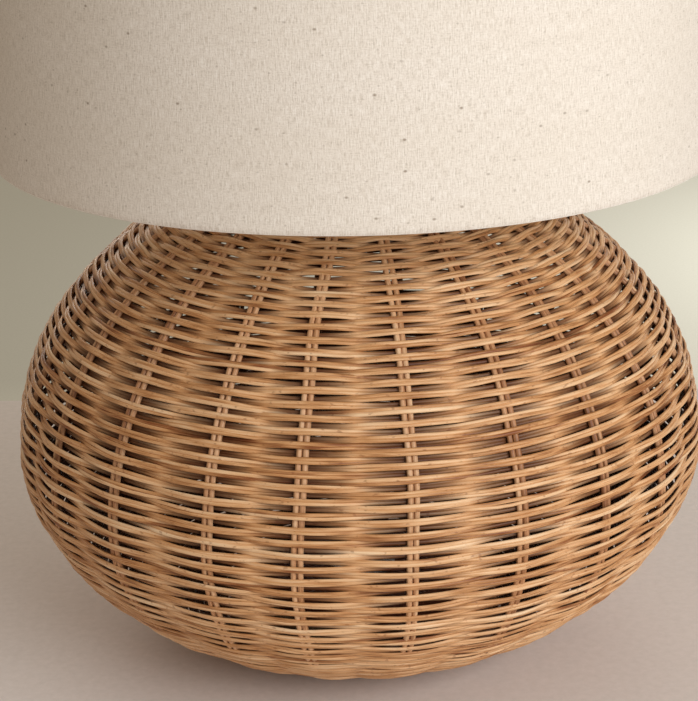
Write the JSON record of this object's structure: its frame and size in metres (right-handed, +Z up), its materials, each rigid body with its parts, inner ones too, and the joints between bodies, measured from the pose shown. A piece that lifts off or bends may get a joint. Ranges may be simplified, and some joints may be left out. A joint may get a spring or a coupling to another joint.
{
  "type": "table lamp",
  "caption": "Table lamp with a squat round woven base, a harp, a screw socket with a turn switch, and a plain cloth drum shade.",
  "frame": {"origin": "on the surface that the lamp stands on, under the lamp's axis", "axes": "+Z up along the lamp's axis, front towards -Y, harp in the XZ plane"},
  "size_m": [0.3569, 0.357, 0.5026],
  "materials": {
    "felt": "pressed wool felt",
    "board": "raw birch plywood",
    "weight": "red-brown primer on casting",
    "zinc": "zinc plated",
    "rattan": "oiled natural rattan core, satin",
    "rattan_stakes": "oiled natural rattan core, satin",
    "rattan_border": "rolled border of rattan core, satin",
    "bushing": "brown moulded rubber",
    "antique_brass": "antique brass, satin",
    "plated_brass": "brass plated steel, satin",
    "socket_brass": "drawn brass, semi gloss",
    "fibre": "vulcanised fibre board",
    "phenolic": "moulded phenolic, black",
    "shell_metal": "drawn aluminium",
    "bulb_glass": "clear glass",
    "filament": "phosphor coated rods",
    "shade_cloth": "unbleached plain weave, matte",
    "shade_liner": "white styrene sheet",
    "shade_wire": "white powder coat"
  },
  "bodies": {
    "base": {"felt_pad": "felt", "base_board": "board", "base_weight": "weight", "lock_nuts": "zinc", "pipe_washers": "zinc", "lamp_pipe": "zinc", "foot_border": "rattan_border", "woven_wall": "rattan", "stakes": "rattan_stakes", "top_border": "rattan_border", "cord_bushing": "bushing", "vase_cap": "antique_brass", "neck_spacer": "antique_brass", "harp_saddle": "plated_brass", "socket_cap": "socket_brass", "cap_set_screw": "zinc", "socket_shell": "socket_brass", "socket_liner": "fibre", "socket_core": "phenolic", "screw_shell": "shell_metal", "centre_contact": "socket_brass", "terminal_screws": "zinc"},
    "switch": {"switch_shaft": "phenolic", "switch_knob": "phenolic"},
    "bulb": {"bulb_glass": "bulb_glass", "bulb_base": "shell_metal", "base_insulator": "phenolic", "bulb_contact": "shell_metal", "bulb_stem": "bulb_glass", "filaments": "filament"},
    "harp": {"harp_wire": "plated_brass", "harp_boss": "plated_brass", "finial_stud": "plated_brass"},
    "ferrule_left": {"ferrule_left": "plated_brass"},
    "ferrule_right": {"ferrule_right": "plated_brass"},
    "shade": {"shade_fabric": "shade_cloth", "shade_liner": "shade_liner", "bottom_ring": "shade_wire", "top_ring": "shade_wire", "spider_arms": "shade_wire", "spider_hub": "shade_wire"},
    "finial": {"finial": "antique_brass"}
  },
  "joints": [
    {"name": "harp_lift", "type": "slide", "parent": "base", "child": "harp", "axis": [0, 0, 1], "range_m": [0, 0.03]},
    {"name": "ferrule_left_slide", "type": "slide", "parent": "harp", "child": "ferrule_left", "axis": [0, 0, 1], "range_m": [0, 0.01]},
    {"name": "ferrule_right_slide", "type": "slide", "parent": "harp", "child": "ferrule_right", "axis": [0, 0, 1], "range_m": [0, 0.01]},
    {"name": "shade_turn", "type": "hinge", "parent": "harp", "child": "shade", "pos_m": [0, 0, 0.4705], "axis": [0, 0, 1], "continuous": true},
    {"name": "finial_turn", "type": "hinge", "parent": "harp", "child": "finial", "pos_m": [0, 0, 0.4721], "axis": [0, 0, 1], "continuous": true},
    {"name": "bulb_turn", "type": "hinge", "parent": "base", "child": "bulb", "pos_m": [0, 0, 0.3015], "axis": [0, 0, 1], "continuous": true},
    {"name": "switch_turn", "type": "hinge", "parent": "base", "child": "switch", "pos_m": [0, -0.0195, 0.2915], "axis": [0, -1, 0], "continuous": true}
  ]
}
